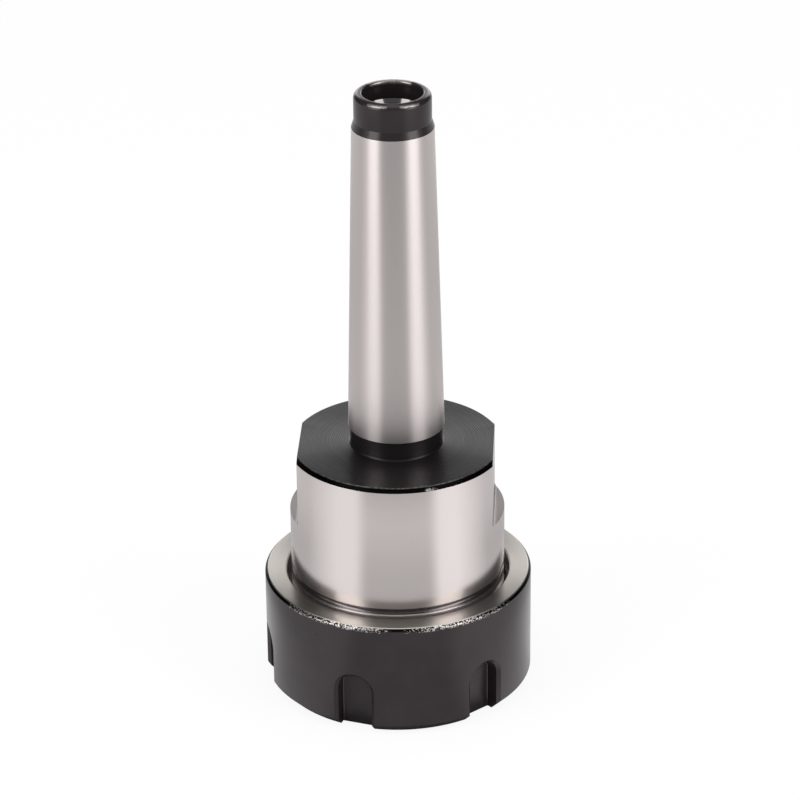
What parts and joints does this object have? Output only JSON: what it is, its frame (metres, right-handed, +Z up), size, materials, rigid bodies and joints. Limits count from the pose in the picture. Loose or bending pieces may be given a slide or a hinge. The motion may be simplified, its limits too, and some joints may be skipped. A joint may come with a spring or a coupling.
{
  "type": "collet chuck holder",
  "caption": "Taper-shank collet chuck holder: ground body with spanner flats, slit spring collet inside and a slotted clamping nut.",
  "frame": {"origin": "centre of the clamping nut's front face, on which the chuck stands", "axes": "+Z up the spindle axis to the drawbar end of the shank; +X and -X face the spanner flats"},
  "size_m": [0.05, 0.05, 0.1175],
  "materials": {
    "ground_steel": "fine ground",
    "black_steel": "black oxide",
    "collet_steel": "ground and polished"
  },
  "bodies": {
    "body": {"arbor": "ground_steel"},
    "collet": {"spring_collet": "collet_steel"},
    "nut": {"clamping_nut": "black_steel"}
  },
  "joints": [
    {"name": "collet_slide", "type": "slide", "parent": "body", "child": "collet", "axis": [0, 0, -1], "range_m": [0, 0.012]},
    {"name": "nut_turn", "type": "hinge", "parent": "collet", "child": "nut", "pos_m": [0, 0, 0], "axis": [0, 0, -1], "range_deg": [0, 2880]}
  ],
  "couplings": [
    {"joint": "collet_slide", "follows": "nut_turn", "m_per_rad": 0.00023873}
  ]
}
